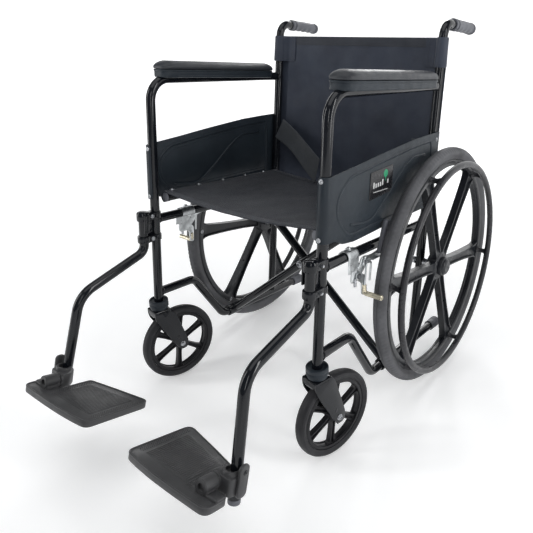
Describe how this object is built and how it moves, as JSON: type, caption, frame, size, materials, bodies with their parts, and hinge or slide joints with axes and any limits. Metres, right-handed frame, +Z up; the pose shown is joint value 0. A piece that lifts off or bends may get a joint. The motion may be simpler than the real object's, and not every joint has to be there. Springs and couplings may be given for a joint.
{
  "type": "manual wheelchair",
  "caption": "Folding self-propelled wheelchair with sling seat, full-length armrests, moulded spoked rear wheels, swing-away legrests and flip-up footplates.",
  "frame": {"origin": "middle of the chair's footprint on the floor, centre of the bounding box's underside", "axes": "+Z up, -Y the way the sitter faces, +X the sitter's left; the side frames lean back 5.6 degrees"},
  "size_m": [0.695, 1.113, 0.8994],
  "materials": {
    "frame_paint": "gloss",
    "black_plastic": "fine texture",
    "wheel_plastic": "satin",
    "handrim_plastic": "satin",
    "grip_rubber": "matte",
    "tyre_rubber": "matte",
    "armrest_vinyl": "soft vinyl",
    "seat_nylon": "coated nylon",
    "belt_webbing": "woven",
    "zinc_steel": "zinc plated"
  },
  "bodies": {
    "left_frame": {"armrest_post_left": "frame_paint", "back_cane_left": "frame_paint", "upper_rail_left": "frame_paint", "lower_rail_left": "frame_paint", "tipping_tip_left": "grip_rubber", "push_grip_left": "grip_rubber", "armrest_base_left": "black_plastic", "armrest_pad_left": "armrest_vinyl", "side_panel_left": "black_plastic", "rear_axle_left": "zinc_steel", "brake_clamp_left": "zinc_steel", "hanger_bracket_left": "frame_paint", "caster_bushing_left": "black_plastic", "back_upholstery_left": "seat_nylon", "lap_belt_left": "belt_webbing"},
    "left_rear_wheel": {"rear_wheel_left": "wheel_plastic", "rear_tyre_left": "tyre_rubber", "handrim_left": "handrim_plastic"},
    "left_caster_fork": {"caster_fork_left": "frame_paint"},
    "left_caster_wheel": {"caster_wheel_left": "wheel_plastic", "caster_tyre_left": "tyre_rubber"},
    "left_brake_lever": {"brake_lever_left": "zinc_steel"},
    "left_brake_shoe": {"brake_shoe_left": "zinc_steel"},
    "left_hanger": {"hanger_left": "frame_paint", "footplate_clamp_left": "black_plastic"},
    "left_footplate": {"footplate_left": "black_plastic"},
    "right_frame": {"armrest_post_right": "frame_paint", "back_cane_right": "frame_paint", "upper_rail_right": "frame_paint", "lower_rail_right": "frame_paint", "tipping_tip_right": "grip_rubber", "push_grip_right": "grip_rubber", "armrest_base_right": "black_plastic", "armrest_pad_right": "armrest_vinyl", "side_panel_right": "black_plastic", "rear_axle_right": "zinc_steel", "brake_clamp_right": "zinc_steel", "hanger_bracket_right": "frame_paint", "caster_bushing_right": "black_plastic", "back_upholstery_right": "seat_nylon", "lap_belt_right": "belt_webbing"},
    "right_rear_wheel": {"rear_wheel_right": "wheel_plastic", "rear_tyre_right": "tyre_rubber", "handrim_right": "handrim_plastic"},
    "right_caster_fork": {"caster_fork_right": "frame_paint"},
    "right_caster_wheel": {"caster_wheel_right": "wheel_plastic", "caster_tyre_right": "tyre_rubber"},
    "right_brake_lever": {"brake_lever_right": "zinc_steel"},
    "right_brake_shoe": {"brake_shoe_right": "zinc_steel"},
    "right_hanger": {"hanger_right": "frame_paint", "footplate_clamp_right": "black_plastic"},
    "right_footplate": {"footplate_right": "black_plastic"},
    "brace_rear_body": {"brace_rear": "frame_paint", "brace_bolt": "zinc_steel", "seat_rail_right": "frame_paint", "seat_sling_right": "seat_nylon"},
    "brace_front_body": {"brace_front": "frame_paint", "seat_rail_left": "frame_paint", "seat_sling_left": "seat_nylon"}
  },
  "joints": [
    {"name": "fold", "type": "hinge", "parent": "left_frame", "child": "brace_rear_body", "pos_m": [0.251, -0.21604, 0.12095], "axis": [0, 0.9952, -0.0976], "range_deg": [0, 41.5], "deforming": ["back_upholstery_left", "back_upholstery_right", "lap_belt_left", "lap_belt_right", "seat_sling_left", "seat_sling_right"]},
    {"name": "brace_pivot", "type": "hinge", "parent": "brace_rear_body", "child": "brace_front_body", "pos_m": [0, -0.19602, 0.32519], "axis": [0, 0.9952, -0.0976], "range_deg": [-83, 0]},
    {"name": "right_frame_fold", "type": "hinge", "parent": "brace_front_body", "child": "right_frame", "pos_m": [-0.251, -0.21604, 0.12095], "axis": [0, 0.9952, -0.0976], "range_deg": [0, 41.5]},
    {"name": "left_wheel_spin", "type": "hinge", "parent": "left_frame", "child": "left_rear_wheel", "pos_m": [0.299, 0.25346, 0.303], "axis": [1, 0, 0], "continuous": true},
    {"name": "left_caster_swivel", "type": "hinge", "parent": "left_frame", "child": "left_caster_fork", "pos_m": [0.251, -0.20521, 0.22], "axis": [0, 0, 1], "continuous": true},
    {"name": "left_caster_spin", "type": "hinge", "parent": "left_caster_fork", "child": "left_caster_wheel", "pos_m": [0.25984, -0.16364, 0.1005], "axis": [0.9781, -0.2079, 0], "continuous": true},
    {"name": "left_brake_lever_turn", "type": "hinge", "parent": "left_frame", "child": "left_brake_lever", "pos_m": [0.27, -0.05384, 0.42256], "axis": [1, 0, 0], "range_deg": [0, 60]},
    {"name": "left_brake_shoe_turn", "type": "hinge", "parent": "left_frame", "child": "left_brake_shoe", "pos_m": [0.27, -0.08225, 0.39922], "axis": [1, 0, 0], "range_deg": [0, 9.5]},
    {"name": "left_legrest_swing", "type": "hinge", "parent": "left_frame", "child": "left_hanger", "pos_m": [0.251, -0.22026, 0.44691], "axis": [0, 0.0976, 0.9952], "range_deg": [0, 90]},
    {"name": "left_footplate_flip", "type": "hinge", "parent": "left_hanger", "child": "left_footplate", "pos_m": [0.245, -0.50743, 0.17849], "axis": [0, 0.956, -0.2934], "range_deg": [0, 90]},
    {"name": "right_wheel_spin", "type": "hinge", "parent": "right_frame", "child": "right_rear_wheel", "pos_m": [-0.299, 0.25346, 0.303], "axis": [1, 0, 0], "continuous": true},
    {"name": "right_caster_swivel", "type": "hinge", "parent": "right_frame", "child": "right_caster_fork", "pos_m": [-0.251, -0.20521, 0.22], "axis": [0, 0, 1], "continuous": true},
    {"name": "right_caster_spin", "type": "hinge", "parent": "right_caster_fork", "child": "right_caster_wheel", "pos_m": [-0.24216, -0.16364, 0.1005], "axis": [0.9781, -0.2079, 0], "continuous": true},
    {"name": "right_brake_lever_turn", "type": "hinge", "parent": "right_frame", "child": "right_brake_lever", "pos_m": [-0.27, -0.05384, 0.42256], "axis": [1, 0, 0], "range_deg": [0, 60]},
    {"name": "right_brake_shoe_turn", "type": "hinge", "parent": "right_frame", "child": "right_brake_shoe", "pos_m": [-0.27, -0.08225, 0.39922], "axis": [1, 0, 0], "range_deg": [0, 9.5]},
    {"name": "right_legrest_swing", "type": "hinge", "parent": "right_frame", "child": "right_hanger", "pos_m": [-0.251, -0.22026, 0.44691], "axis": [0, -0.0976, -0.9952], "range_deg": [0, 90]},
    {"name": "right_footplate_flip", "type": "hinge", "parent": "right_hanger", "child": "right_footplate", "pos_m": [-0.245, -0.50743, 0.17849], "axis": [0, -0.956, 0.2934], "range_deg": [0, 90]}
  ],
  "couplings": [
    {"joint": "brace_pivot", "follows": "fold", "ratio": -2},
    {"joint": "right_frame_fold", "follows": "fold", "ratio": 1},
    {"joint": "left_brake_shoe_turn", "follows": "left_brake_lever_turn", "ratio": 0.158},
    {"joint": "left_footplate_flip", "follows": "fold", "ratio": 2.1667},
    {"joint": "right_brake_shoe_turn", "follows": "right_brake_lever_turn", "ratio": 0.158},
    {"joint": "right_footplate_flip", "follows": "fold", "ratio": 2.1667}
  ]
}
